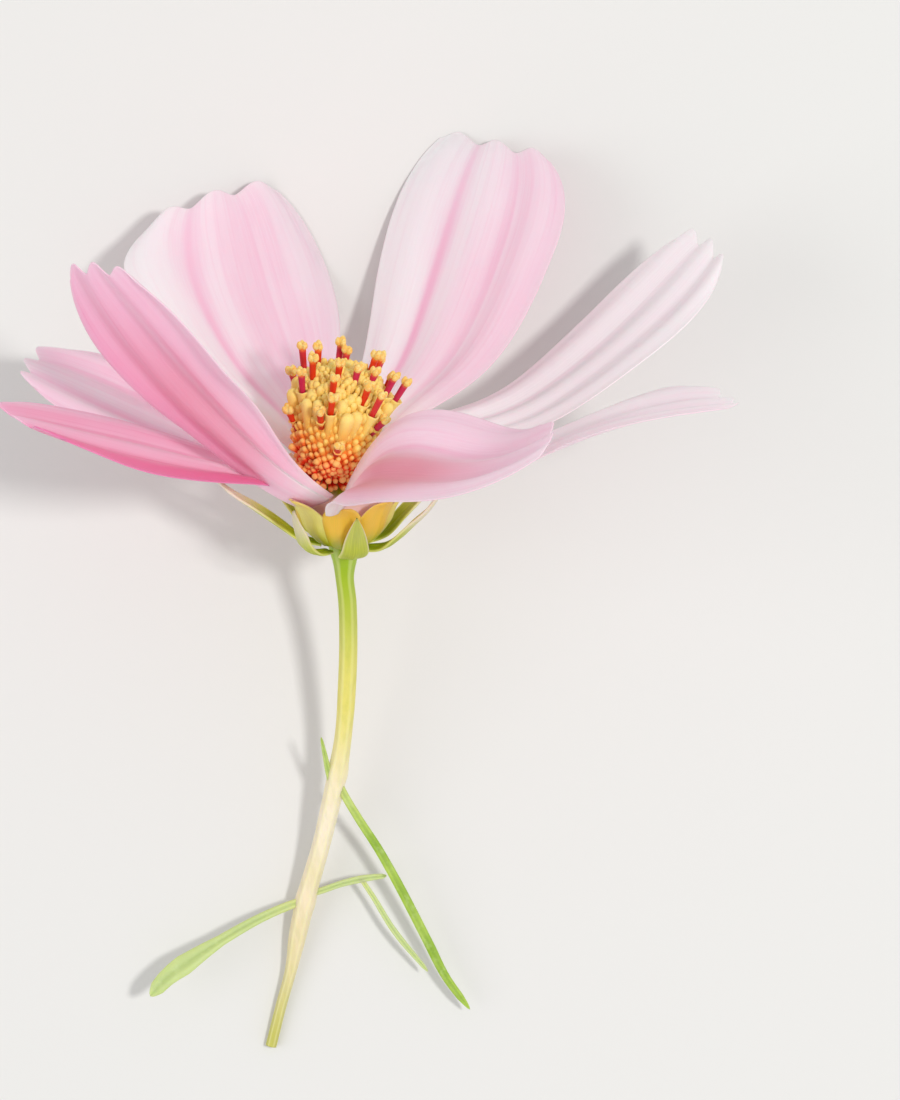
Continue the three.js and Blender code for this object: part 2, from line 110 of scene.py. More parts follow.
def gridQuads(rows, columns, first=0, closed=False):
    # Corner numbers of the quads of a grid of points; closed joins its last column to its first.
    i, j = np.meshgrid(np.arange(rows - 1), np.arange(columns - (not closed)), indexing="ij")
    k = (j + 1) % columns
    low, high = i * columns, (i + 1) * columns
    return np.stack([low + j, low + k, high + k, high + j], -1).reshape(-1, 4) + first


def tubeFaces(rows, sides):
    # Quads from ring to ring, and a fan over each end to the two points that follow the rings.
    k = np.arange(sides)
    following = (k + 1) % sides
    top = (rows - 1) * sides
    low = np.stack([following, k, np.full(sides, rows * sides)], -1)
    high = np.stack([top + k, top + following, np.full(sides, rows * sides + 1)], -1)
    return [gridQuads(rows, sides, closed=True), low, high]


def addObject(name, data):
    added = bpy.data.objects.new(name, data)
    bpy.context.scene.collection.objects.link(added)
    return added


def fill(items, key, values, kind=np.float32):
    items.foreach_set(key, values.astype(kind).ravel())


def makePiece(name, points, faces, material, replaced, marks, uv=None):
    # One object from points in millimetres and lists of faces, riding on the flower's one body.
    mesh = bpy.data.meshes.new(name)
    counts = np.concatenate([np.full(len(f), f.shape[1]) for f in faces])
    corners = np.concatenate([f.ravel() for f in faces])
    mesh.vertices.add(len(points))
    mesh.loops.add(len(corners))
    mesh.polygons.add(len(counts))
    fill(mesh.vertices, "co", points / 1000)
    fill(mesh.loops, "vertex_index", corners, np.int32)
    fill(mesh.polygons, "loop_start", np.cumsum(counts) - counts, np.int32)
    fill(mesh.polygons, "use_smooth", np.ones(len(counts)), bool)
    if uv is not None:
        fill(mesh.uv_layers.new(name="blade").data, "uv", uv[corners])
    for mark, values in marks.items():
        fill(mesh.attributes.new(mark, "FLOAT", "POINT").data, "value", values)
    mesh.update(calc_edges=True)
    mesh.validate()
    mesh.materials.append(material)
    piece = addObject(name, mesh)
    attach(piece, "root")
    if replaced:
        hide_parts(*replaced)


def bladeParts(middle, thickness, s, v):
    # A closed blade: the middle surface moved half the thickness to each side along its normals,
    # and a wall round the edge. s runs along it from 0 to 1, and v across it from -1 to 1.
    # Returns points, faces, uv and the mark of the under side.
    rows, columns = middle.shape[:2]
    count = rows * columns
    half = unit(np.cross(np.gradient(middle, axis=0), np.gradient(middle, axis=1)))
    half = half * (thickness / 2)[..., None]
    points = np.concatenate([(middle + half).reshape(-1, 3), (middle - half).reshape(-1, 3)])
    number = np.arange(count).reshape(rows, columns)
    edge = np.concatenate([number[:-1, 0], number[-1, :-1], number[:0:-1, -1], number[0, :0:-1]])
    following = np.roll(edge, -1)
    wall = np.stack([following, edge, edge + count, following + count], -1)
    faces = [gridQuads(rows, columns)[:, ::-1], gridQuads(rows, columns, first=count), wall]
    uv = np.stack(np.broadcast_arrays((v[None, :] + 1) / 2, s[:, None]), -1).reshape(-1, 2)
    return points, faces, np.tile(uv, (2, 1)), np.repeat([0.0, 1.0], count)


def joined(parts):
    # Several lists of points, faces and marks as one.
    points, faces, marks = zip(*parts)
    firsts = np.cumsum([0] + [len(p) for p in points])
    faces = [f + first for first, several in zip(firsts, faces) for f in several]
    marks = {name: np.concatenate([mark[name] for mark in marks]) for name in marks[0]}
    return np.concatenate(points), faces, marks


def seededDraws(count, seed):
    # The same random numbers from 0 to 1 on every run.
    state, draws = seed, []
    for _ in range(count):
        state = (state * 1664525 + 1013904223) % 4294967296
        draws.append(state / 4294967296)
    return np.array(draws)


def shade(red, green, blue):
    # A colour given as it looks on a screen, from 0 to 255, in the linear light that shaders use.
    screen = np.array([red, green, blue]) / 255
    linear = np.where(screen <= 0.04045, screen / 12.92, ((screen + 0.055) / 1.055) ** 2.4)
    return (*linear.tolist(), 1.0)


class Nodes:
    # A material's node tree, with short ways to add and join nodes.
    def __init__(self, name):
        self.material = bpy.data.materials.new(name)
        self.material.use_nodes = True
        self.tree = self.material.node_tree
        self.shader = self.tree.nodes["Principled BSDF"]

    def add(self, kind, inputs, output=0, **settings):
        # A node with its settings and inputs, each a value or another node's output.
        node = self.tree.nodes.new(kind)
        for key, value in settings.items():
            setattr(node, key, value)
        for key, value in inputs.items():
            self.plug(value, node.inputs[key])
        return node.outputs[output]

    def plug(self, value, socket):
        if isinstance(value, bpy.types.NodeSocket):
            self.tree.links.new(value, socket)
        else:
            socket.default_value = value

    def math(self, operation, a, b=0.0, c=0.0, clamp=False):
        inputs = {0: a, 1: b, 2: c}
        return self.add("ShaderNodeMath", inputs, operation=operation, use_clamp=clamp)

    def mix(self, share, a, b):
        inputs = {"Factor": share, "A": a, "B": b}
        return self.add("ShaderNodeMix", inputs, "Result", data_type="RGBA")

    def spread(self, value, low, high, most=1.0):
        # Eases from 0 to most as the value goes from low to high.
        inputs = {0: value, 1: low, 2: high, 3: 0.0, 4: most}
        return self.add("ShaderNodeMapRange", inputs, interpolation_type="SMOOTHSTEP")

    def tint(self, colour, other, value, low, high, most=1.0):
        # Towards the other colour, by most at the most, as the value goes from low to high.
        return self.mix(self.spread(value, low, high, most), colour, other)

    def layers(self, look, **values):
        # The first colour tinted by each layer in turn. A layer follows one of the values or a
        # mark, and does so straight when low and high are the same.
        colour = shade(*look["first"])
        for name, low, high, most, other in look["layers"]:
            value = values[name] if name in values else self.mark(name)
            if low == high:
                share = self.math("MULTIPLY", value, most)
            else:
                share = self.spread(value, low, high, most)
            colour = self.mix(share, colour, shade(*other))
        return colour

    def layered(self, look, **values):
        return self.finish(self.layers(look, **values), *look["finish"])

    def noise(self, vector, scale, detail=2.0, roughness=0.5):
        inputs = {"Vector": vector, "Scale": scale, "Detail": detail, "Roughness": roughness}
        return self.add("ShaderNodeTexNoise", inputs, "Fac")

    def stretched(self, vector, scale, place=(0, 0, 0)):
        inputs = {"Vector": vector, "Scale": scale, "Location": place}
        return self.add("ShaderNodeMapping", inputs)

    def mark(self, name):
        return self.add("ShaderNodeAttribute", {}, "Fac", attribute_name=name)

    def uv(self):
        return self.add("ShaderNodeUVMap", {}, uv_map="blade")

    def place(self):
        return self.add("ShaderNodeTexCoord", {}, "Object")

    def runAndEdge(self):
        # How far along the blade, from 0 to 1, and how near its edge.
        across, run = [self.add("ShaderNodeSeparateXYZ", {0: self.uv()}, k) for k in (0, 1)]
        return run, self.math("ABSOLUTE", self.math("MULTIPLY_ADD", across, 2.0, -1.0))

    def bump(self, height, strength, distance):
        inputs = {"Height": height, "Strength": strength, "Distance": distance}
        self.plug(self.add("ShaderNodeBump", inputs), self.shader.inputs["Normal"])

    def finish(self, colour, roughness, gloss=0.5, soft=(), **settings):
        # A skin's "finish" is its roughness, gloss and soft: the weight of the light that soaks in,
        # its reach in red, green and blue, and its scale.
        self.plug(colour, self.shader.inputs["Base Color"])
        values = {"Roughness": roughness, "Specular IOR Level": gloss, **settings}
        values.update(zip(("Subsurface Weight", "Subsurface Radius", "Subsurface Scale"), soft))
        for name, value in values.items():
            self.shader.inputs[name].default_value = value
        return self.material


petalShape = {
    "rows": 150,
    "columns": 96,
    "tipRows": 1.15,  # how much closer the rows stand at the tip
    "edgeColumns": 0.06,  # and the columns at the edges
    "thickness": 0.34,
    "edgeThickness": 0.12,
    "liftPlaces": (0, 0.15, 0.5, 1),  # of the length, where lift is given
    "turnPlaces": (0, 0.3, 0.65, 1),  # where twist and cup are
    "pleatDepth": 0.55,
    "pleatFrom": 0.35,  # where the pleats reach their depth
    "pleatFade": 0.35,  # how much flatter they are at the tip
    "broadest": 0.72,  # where it is widest
    "tipWidth": 0.62,  # of the width, at the tip
    "tipFrom": 0.62,  # where the teeth begin to reach out
    "trimTo": 0.8,  # where a trimmed petal is whole again
    "hangTo": 0.42,  # where a hanging edge is level again
    # radius and height of the outer, middle and inner ring of feet
    "claws": ((5.1, -3.2), (4.3, -2.6), (3.5, -2.0)),
    "tableEase": 0.3,  # how softly a petal bends where it meets the table
}

# lift: slope above the whorl's plane. twist: about the petal's own line, the last one to the tip.
# cup: half angle of the cross-section's arc. lean: sideways at the base. bend: how much more at
# the tip. tooth, shoulder and skew shape the three-toothed tip. foot: width at the base, as a
# share of the width. swell: how late the petal widens. claw: the ring its foot stands on.
# trim: how much narrower its upper half is near the base. hang: how far its lower edge hangs
# there. blush: how pink it is, partly its own tone and partly painted shade on petals turned
# from the light. grooves: strength of the lines of painted shade in its two valleys. sides:
# how much pinker it gets to each edge. dusk: place across, width and strength of a band of
# painted shade. fold: place across and paleness of a painted highlight near the base.
petalCommon = dict(
    lean=0, tooth=1.2, shoulder=1.2, skew=0, foot=0.13, swell=1.15, claw=0, trim=0, hang=0,
    paintedShade=(0, 1, 0), paintedHighlight=(0, 0),
)
petals = {
    "petal_back_right": dict(
        azimuth=59, length=40, width=21, lift=(70, 23, 40, 31), twist=(0, -6, -15),
        cup=(4, 1, 7, 9), bend=22, tooth=0.9, shoulder=0.5, skew=2.2, claw=2,
        pinkAndShade=0.2, grooves=(0.6, 1.0), sides=(0.14, -0.22),
    ),
    "petal_right_upper": dict(
        azimuth=17, length=41, width=18, lift=(66, 14, 29, 43), twist=(0, -8, -13),
        cup=(25, 13, 14, 9), bend=20, tooth=1.3, shoulder=1.3, skew=1.0, claw=1,
        pinkAndShade=0.0, grooves=(0.15, 0.25), sides=(0.05, -0.05),
    ),
    "petal_right_lower": dict(
        azimuth=-17, length=37, width=16, lift=(55, 21, 31, 12), twist=(0, -5, -11),
        cup=(36, 6, 12, 13), bend=4, tooth=0.9, skew=-2.5,
        pinkAndShade=0.1, grooves=(0.3, 0.3), sides=(0.1, 0.0),
    ),
    "petal_front_right": dict(
        azimuth=-92, length=37.4, width=16.4, lift=(57, 48, 18, 43), twist=(34, 36, 8),
        cup=(50, 22, 9, 6), lean=31, bend=33, tooth=0.9, shoulder=0.6, skew=-2.3, foot=0.24,
        swell=0.95, pinkAndShade=0.34, grooves=(0.2, 0.2), sides=(-0.05, 0.05), paintedShade=(-0.3, 0.5, 0.85),
    ),
    "petal_front_left": dict(
        azimuth=-110, length=38.8, width=15, lift=(35, 43, 52, 58), twist=(35, 38, 28),
        cup=(45, 24, -5, 2), lean=-38, bend=-6, foot=0.22, swell=0.95, claw=1, trim=0.6, hang=2.3,
        pinkAndShade=0.46, grooves=(0.3, 0.4), sides=(0.1, -0.15), paintedShade=(-0.1, 0.6, 0.4), paintedHighlight=(0.1, 0.4),
    ),
    "petal_left_lower": dict(
        azimuth=-161, length=31.5, width=17.6, lift=(38, 24, 23, 29), twist=(0, 3, 4),
        cup=(14, 14, 8, 8), bend=16, foot=0.1, swell=1.3,
        pinkAndShade=0.62, grooves=(0.5, 0.6), sides=(0.1, 0.55),
    ),
    "petal_left_upper": dict(
        azimuth=162.5, length=29.5, width=15, lift=(53, 12, 18, 18), twist=(0, -1, 1),
        cup=(9, 5, 9, 8), bend=7, swell=1.3,
        pinkAndShade=0.3, grooves=(0.5, 0.5), sides=(0.1, 0.1),
    ),
    "petal_back_left": dict(
        azimuth=124, length=33.5, width=24, lift=(70, 30, 28, 51), twist=(0, 9, 15),
        cup=(-3, 13, 14, -8), bend=-25, tooth=1.0, shoulder=0.9, skew=-2.4,
        pinkAndShade=0.26, grooves=(0.3, 0.6), sides=(0.0, -0.35),
    ),
}

petalSkin = {
    "pale": shade(253, 236, 242),
    "pink": shade(246, 186, 208),
    "deep": shade(230, 124, 164),
    # dusk: the colour of the painted shade band
    "paintedShade": shade(216, 134, 152),
    "finish": (0.5, 0.28, (0.6, (1.0, 0.6, 0.7), 0.0012)),
    "sheen": {"Sheen Weight": 0.1, "Sheen Roughness": 0.4},
}


def petalHeading(petal, at):
    # Unit vectors ahead, sideways and up from a petal's line at shares of its length. The line
    # rises at the angles of lift and bends sideways by the square of the share.
    radial = spokes(np.radians(petal["azimuth"]))
    tangent = np.array([-radial[1], radial[0], 0])
    lift = np.radians(along(petalShape["liftPlaces"], petal["lift"], at))[:, None]
    bend = np.radians(petal["lean"] + petal["bend"] * at**2)[:, None]
    flat = np.cos(bend) * radial + np.sin(bend) * tangent
    side = np.cos(bend) * tangent - np.sin(bend) * radial
    forward = np.cos(lift) * flat + np.sin(lift) * np.array([0.0, 0, 1])
    return forward, side, np.cross(forward, side)


def petalLine(petal, s):
    # The petal's line starts at its claw and adds up its steps.
    radius, height = petalShape["claws"][petal["claw"]]
    foot = radius * spokes(np.radians(petal["azimuth"])) + [0, 0, height]
    steps = petalHeading(petal, (s[1:] + s[:-1]) / 2)[0] * np.diff(s)[:, None] * petal["length"]
    return foot + np.concatenate([np.zeros((1, 3)), np.cumsum(steps, axis=0)])


def petalHalfWidth(petal, s, v):
    # A sine up to the broadest place, then a quarter of an oval; the upper half may be trimmed.
    shape = petalShape
    grown = np.sin(np.pi / 2 * np.minimum(s / shape["broadest"], 1)) ** petal["swell"]
    past = np.clip((s - shape["broadest"]) / (1 - shape["broadest"]), 0, 1)
    narrow = np.sqrt(1 - past**2 * (1 - shape["tipWidth"] ** 2))
    share = petal["foot"] + (1 - petal["foot"]) * grown
    half = petal["width"] / 2 * np.where(s < shape["broadest"], share, narrow)
    trimmed = 1 - petal["trim"] * (1 - smooth(s / shape["trimTo"]))
    return half[:, None] * np.where(v > 0, trimmed[:, None], 1)


def petalMiddle(petal, s, v):
    # Each cross-section is an arc of the cup angle with three pleats, turned by the twist about
    # the petal's line. s runs from the claw to the tip, v from one edge, -1, to the other, 1.
    shape = petalShape
    forward, side, up = petalHeading(petal, s)
    first, near, far = petal["twist"]
    twist = np.radians(along(shape["turnPlaces"], (first, near, far, far), s))[:, None]
    across = np.cos(twist) * side + np.sin(twist) * up
    rise = np.cos(twist) * up - np.sin(twist) * side
    bow = along(shape["turnPlaces"], petal["cup"], s)
    cup = np.radians(np.where(np.abs(bow) < 0.1, 0.1, bow))[:, None]  # a flat arc has no radius
    pleat = shape["pleatDepth"] / 2 * smooth(s / shape["pleatFrom"])
    pleat = (pleat * (1 - shape["pleatFade"] * smooth((s - 0.7) / 0.3)))[:, None]
    wide = petalHalfWidth(petal, s, v)
    sideways = wide * np.sin(cup * v) / cup
    raised = wide * (1 - np.cos(cup * v)) / cup + pleat * np.cos(3 * np.pi * v)
    teeth = petal["tooth"] * (np.cos(3 * np.pi * v) / 2 + 0.5) ** 0.8
    reach = teeth - petal["shoulder"] * np.abs(v) ** 2.4 + petal["skew"] * v
    reach = reach * smooth((s - shape["tipFrom"]) / (1 - shape["tipFrom"]))[:, None]
    middle = petalLine(petal, s)[:, None] + sideways[..., None] * across[:, None]
    middle = middle + raised[..., None] * rise[:, None] + reach[..., None] * forward[:, None]
    hung = petal["hang"] * (smooth((s + 0.03) / 0.08) * smooth((shape["hangTo"] - s) / 0.36))
    middle[..., 2] -= hung[:, None] * np.maximum(-v, 0)
    return middle


def settleOnTable(middle, thickness):
    # Lifts what would sink into the table, so that its lower face lies on it: a hyperbola between
    # the height itself and half the thickness.
    rest = thickness / 2
    z = middle[..., 2]
    lifted = middle.copy()
    lifted[..., 2] = (z + rest + np.sqrt((z - rest) ** 2 + petalShape["tableEase"] ** 2)) / 2
    return lifted


def petalMarks(petal, s, v):
    # blush: the base tone, partly painted shade, paler at the claw and at a painted highlight near
    # it, and changing to each side.
    # groove: a line of painted shade in each of the two valleys. dusk: a band of painted shade
    # that fades at both ends.
    left, right = petal["sides"]
    place, paleness = petal["paintedHighlight"]
    pinkAndShade = petal["pinkAndShade"] + np.clip(-v, 0, 1) ** 2 * left + np.clip(v, 0, 1) ** 2 * right
    # A painted highlight: a paler lengthwise band near the base.
    paintedHighlight = paleness * bell(v, place, 0.2) * smooth((0.5 - s) / 0.3)
    pinkAndShade = pinkAndShade - 0.25 * smooth((0.3 - s) / 0.3) - paintedHighlight
    low, high = petal["grooves"]
    groove = bell(v, -1 / 3, 0.07) * low + bell(v, 1 / 3, 0.07) * high
    groove = groove * smooth(s / 0.3) * (1 - 0.5 * smooth((s - 0.6) / 0.4))
    # Painted shade: a band of dusky rose along the petal.
    place, width, strength = petal["paintedShade"]
    paintedShade = strength * bell(v, place, width, 4) * smooth((s - 0.05) / 0.3) * smooth((0.9 - s) / 0.4)
    return {"pinkAndShade": pinkAndShade, "groove": groove, "paintedShade": paintedShade}


def petalMaterial():
    n, look = Nodes("petalSkin"), petalSkin
    veins = n.noise(n.stretched(n.uv(), (40, 1.6, 1)), 1.0, 3.0, 0.6)
    streaks = n.noise(n.stretched(n.uv(), (7, 0.7, 1), (3.7, 0.4, 0)), 1.0)
    cloud = n.noise(n.place(), 70.0)
    # blush brings the petal's own pink together with its painted shade and highlight.
    amount = n.math("ADD", n.spread(streaks, 0.35, 0.7, 0.12), n.mark("pinkAndShade"))
    # Painted shade: the lines in the valleys turn pinker.
    amount = n.math("MULTIPLY_ADD", n.mark("groove"), 0.3, amount)
    amount = n.math("ADD", n.spread(veins, 0.45, 0.7, 0.06), amount)
    amount = n.math("ADD", amount, n.math("MULTIPLY_ADD", cloud, 0.14, -0.07))
    amount = n.math("MULTIPLY_ADD", n.mark("under"), 0.08, amount, clamp=True)
    colour = n.tint(look["pale"], look["pink"], amount, 0.0, 0.62)
    colour = n.tint(colour, look["deep"], amount, 0.55, 1.0)
    # Painted shade: the band turns the colour to dusky rose.
    colour = n.mix(n.mark("paintedShade"), colour, look["paintedShade"])
    n.bump(n.math("MULTIPLY_ADD", streaks, 0.5, veins), 0.25, 0.0002)
    return n.finish(colour, *look["finish"], **look["sheen"])


def makePetals():
    shape = petalShape
    material = petalMaterial()
    s = 1 - (1 - np.linspace(0, 1, shape["rows"])) ** shape["tipRows"]
    v = np.linspace(-1, 1, shape["columns"])
    v = v + shape["edgeColumns"] * np.sin(np.pi * v)
    fade = (1 - np.abs(v) ** 6)[None, :] * (1 - s[:, None] ** 24)
    thickness = shape["edgeThickness"] + (shape["thickness"] - shape["edgeThickness"]) * fade
    for name, own in petals.items():
        petal = {**petalCommon, **own}
        middle = settleOnTable(fromBloom(petalMiddle(petal, s, v)), thickness)
        points, faces, uv, under = bladeParts(middle, thickness, s, v)
        marks = petalMarks(petal, s[:, None], v[None, :])
        marks = {mark: np.tile(values.ravel(), 2) for mark, values in marks.items()}
        marks["under"] = under
        makePiece(name + "_blade", points, faces, material, [name], marks, uv)
    print("petals:", len(petals))


makePetals()

disc = {
    "foot": (-1.7, 0.0, -1.1),  # in the bloom
    "lean": 10.0,  # to the right of the bloom's axis
    # radius and height of the core's outline
    "core": (
        (0, 0), (2.3, 0), (3.0, 1.2), (3.7, 3.0), (4.15, 5.2), (4.3, 7.2), (3.5, 8.8), (0, 9.9),
    ),
    "coreRows": 60,
    "coreSides": 72,
    "coreTip": 0.4,  # how far up a floret the core's colour is taken from
    "coreSeed": 9,
    "goldenAngle": 137.508,
}

# The tall florets stand inside the ring and lean out by up to the splay.
tallFlorets = {
    "count": 60,
    "ring": 2.8,
    "base": 1.2,  # height of their feet
    "splay": 19.0,
    "sway": 4.0,
    "length": 9.4,
    "rimShorter": 1.8,
    "vary": 0.8,
    "seed": 11,
}

# Knobs are unopened florets that fill the gaps. On the flank of the disc one in so many is open.
knobs = {
    "count": 660,
    "sunk": 0.3,
    "inside": 0.92,  # of the core's radius
    "length": 0.85,
    "openLonger": 0.5,
    "flank": (3.2, 7.6),
    "flankEvery": 23,
    "seed": 23,
}

# Short buds stand round the foot in rows, and the least ones, the skirt, lean out below them.
# lean: of the lowest row, less for each row above it, and how much it varies.
buds = {
    "count": 26, "rows": 2, "ring": 1.9, "base": 0.7, "rowHeight": 1.3,
    "lean": (50, 22, 8), "length": 2.4, "vary": 0.8, "shift": 0.5, "jitter": 0,
}
skirt = {
    "count": 90, "rows": 3, "ring": 1.5, "base": -0.7, "rowHeight": 0.5,
    "lean": (84, 12, 10), "length": 1.7, "vary": 0.5, "shift": 0, "jitter": 5, "seed": 29,
}

antherColumns = {
    "length": 2.1,
    "flankLength": 1.5,
    "sunk": 1.2,  # below the mouth of a tall floret
    "flankFoot": 0.6,  # above the foot of one on the flank
    "seed": 31,
}
pollen = {"lumps": 3, "girth": 0.4, "length": 2.6, "below": 0.3, "aside": 0.12, "seed": 50}

# Outlines of turned shapes from the foot up: share of the length, share of the girth.
profiles = {
    "mouth": (
        (0, 0.55), (0.3, 0.6), (0.6, 0.66), (0.84, 0.8), (0.93, 1.0), (0.975, 1.18), (1.0, 1.24),
        (0.995, 1.08), (0.96, 0.8), (0.9, 0.62), (0.84, 0.5),
    ),
    "closed": (
        (0, 0.5), (0.35, 0.62), (0.62, 0.78), (0.8, 0.96), (0.88, 1.02), (0.94, 0.98), (0.98, 0.76),
        (1.0, 0.42), (1.006, 0.12),
    ),
    "blunt": ((0, 0.8), (0.5, 0.95), (0.74, 1.0), (0.9, 0.78), (0.97, 0.5), (1.0, 0.15)),
    "column": ((0, 0.9), (0.3, 0.86), (0.55, 0.94), (0.8, 1.0), (0.97, 1.06), (1.0, 0.9)),
    "heap": (
        (0, 0.3), (0.12, 0.72), (0.3, 0.97), (0.5, 1.0), (0.72, 0.8), (0.9, 0.46), (1.0, 0.12),
    ),
}

# Each kind of tube: its least and greatest girth, outline, sides, seed, ripple and twist.
tubes = {
    "open": ((0.54, 0.72), "mouth", 25, 5, 0.16, 0.9),
    "shut": ((0.54, 0.72), "closed", 20, 6, 0.1, 1.3),
    "bud": ((0.3, 0.44), "closed", 12, 7, 0.1, 1.1),
    "skirt": ((0.26, 0.4), "closed", 10, 12, 0.1, 0.7),
    "knob": ((0.26, 0.44), "blunt", 10, 8, 0.14, 1.9),
    "flank": ((0.4, 0.46), "mouth", 15, 9, 0.16, 0.7),
    "anther": ((0.34, 0.34), "column", 25, 41, -0.12, 0.5),
}

# A skin's layers: what each follows, from where to where, how strongly, and its colour.
floretSkin = {
    # The red at the foot is partly the florets' own colour and partly painted shade low in the
    # disc.
    "first": (255, 64, 34),
    "layers": (
        ("height", 0.1, 0.36, 1, (255, 150, 64)),
        ("height", 0.3, 0.58, 1, (255, 204, 96)),
        ("height", 0.5, 0.9, 1, (255, 222, 124)),
        # A painted highlight: paler at each floret's tip.
        ("tip", 0.7, 1.0, 0.6, (255, 230, 140)),
        # Painted shade: deeper orange low on each floret, where the florets crowd together.
        ("tip", 0.6, 0.1, 0.4, (255, 150, 50)),
        ("fleck", 0.55, 0.75, 0.2, (255, 150, 60)),
    ),
    "finish": (0.55, 0.2, (0.15, (1.0, 0.6, 0.2), 0.0004)),
}
antherSkin = {
    "first": (216, 50, 12),
    "layers": (
        ("tone", 0.4, 0.95, 1, (196, 30, 88)),
        ("fleck", 0, 0, 0.3, (226, 70, 24)),
        ("tip", 0.82, 1.0, 1, (255, 150, 50)),
    ),
    "finish": (0.45, 0.35, (0.25, (1.0, 0.3, 0.2), 0.0004)),
}
pollenSkin = {
    "first": (255, 196, 96),
    "layers": (("grain", 0.35, 0.7, 1, (255, 228, 150)),),
    "finish": (0.8, 0.5, (0.4, (1.0, 0.6, 0.3), 0.0004)),
}


def discMarks(points, tip, tone):
    # rise: height in the disc. tip: how far along its own floret. tone: one draw for each floret.
    return {"rise": points[:, 2] / 10, "tip": tip, "tone": tone}


def turnedParts(place, girths, profile, sides, seed, ripple, twist, lobes=5):
    # Copies of one turned shape, whose place is its foot, direction and length. ripple waves the
    # radius round the axis, more towards the top, and each copy is turned on from the last by the
    # twist. Both ends close in a point. Returns points, faces and marks.
    feet, directions, lengths = place
    outline = np.asarray(profiles[profile], float)
    rows, count = len(outline), len(feet)
    turn = roundTurn(sides)
    first = unit(np.cross(directions, [[1.0, 0.2, 0.0]]))
    second = np.cross(directions, first)
    angles = turn[None, :] + (np.arange(count) * twist)[:, None]
    spoke = np.cos(angles)[..., None] * first[:, None] + np.sin(angles)[..., None] * second[:, None]
    wave = 1 + ripple * np.linspace(0, 1, rows)[:, None] ** 2 * np.cos(lobes * turn)[None, :]
    reach = girths[:, None, None] * outline[None, :, None, 1] * wave[None]
    climb = (lengths[:, None] * outline[None, :, 0])[..., None] * directions[:, None]
    middles = feet[:, None] + climb
    rings = middles[:, :, None] + reach[..., None] * spoke[:, None]
    points = np.concatenate([rings.reshape(count, -1, 3), middles[:, :1], middles[:, -1:]], axis=1)
    each = rows * sides + 2
    offset = (np.arange(count) * each)[:, None, None]
    faces = [(f[None] + offset).reshape(-1, f.shape[1]) for f in tubeFaces(rows, sides)]
    run = np.concatenate([np.repeat(outline[:, 0], sides), [0.0, outline[-1, 0]]])
    points = points.reshape(-1, 3)
    tone = np.repeat(seededDraws(count, seed), each)
    return points, faces, discMarks(points, np.tile(run, count), tone)


def tubeParts(kind, place):
    # One kind of tube. A draw's square sets each girth, so most are near the least.
    (low, high), profile, sides, seed, ripple, twist = tubes[kind]
    girths = low + (high - low) * seededDraws(len(place[0]), seed + 70) ** 2
    return turnedParts(place, girths, profile, sides, seed, ripple, twist)


def coreParts():
    # The core is turned about the disc's axis from its outline.
    outline = route(disc["core"], disc["coreRows"])
    points = outline[1:-1, None, :1] * spokes(roundTurn(disc["coreSides"]))
    points[..., 2] += outline[1:-1, 1:]
    ends = [[0, 0, outline[0, 1]], [0, 0, outline[-1, 1]]]
    points = np.concatenate([points.reshape(-1, 3), ends])
    tip = np.full(len(points), disc["coreTip"])
    tone = np.full(len(points), seededDraws(1, disc["coreSeed"])[0])
    return points, tubeFaces(disc["coreRows"] - 2, disc["coreSides"]), discMarks(points, tip, tone)


def fromDisc(points):
    # Disc coordinates, leant and moved to the disc's foot, to the table's.
    return fromBloom(points @ turnAbout("y", disc["lean"]).T + np.array(disc["foot"]))


def leaning(outward, lean):
    # Unit vectors that lean outward from the disc's axis.
    return outward * np.sin(lean)[:, None] + [0, 0, 1] * np.cos(lean)[:, None]


def footing(outward, radius, height):
    # Points at a radius and a height about the disc's axis.
    feet = outward * np.reshape(radius, (-1, 1))
    feet[:, 2] += height
    return feet


def placeFlorets():
    # The tall florets stand in a spiral of golden angles and lean out more towards the rim.
    own = tallFlorets
    i = np.arange(own["count"])
    draws = seededDraws(2 * len(i) + 3 * buds["count"], own["seed"])
    sway, vary = draws[: 2 * len(i)].reshape(-1, 2).T
    spread = np.sqrt((i + 0.5) / len(i))
    outward = spokes(np.radians(i * disc["goldenAngle"]))
    lean = np.radians(own["splay"] * spread**1.2 + own["sway"] * (sway - 0.5))
    lengths = own["length"] - own["rimShorter"] * spread**2 + own["vary"] * (vary - 0.5)
    place = footing(outward, own["ring"] * spread, own["base"]), leaning(outward, lean), lengths
    return place, (i % 3 == 1) & (i > 4), draws[2 * len(i) :]


def placeKnobs():
    # Knobs stand all over the core, from its foot to its top, and lean out more the lower they are.
    own = knobs
    k = np.arange(own["count"])
    outline = route(disc["core"], 80)[4:]
    chance = seededDraws(3 * len(k), own["seed"]).reshape(-1, 3)
    share = (k + chance[:, 0]) / len(k)
    even = np.linspace(0, 1, len(outline))
    radius, height = [np.interp(share, even, column) for column in outline.T]
    outward = spokes(np.radians(k * disc["goldenAngle"]))
    lean = np.radians(48 - 34 * smooth((height - 1.0) / 8.0) + 12 * (chance[:, 1] - 0.5))
    lengths = own["length"] + 0.6 * chance[:, 2] + 0.5 * smooth((height - 6) / 3)
    feet = footing(outward, own["inside"] * radius, height - own["sunk"])
    low, high = own["flank"]
    onFlank = (height > low) & (height < high) & (k % own["flankEvery"] == 5)
    return (feet, leaning(outward, lean), lengths), onFlank


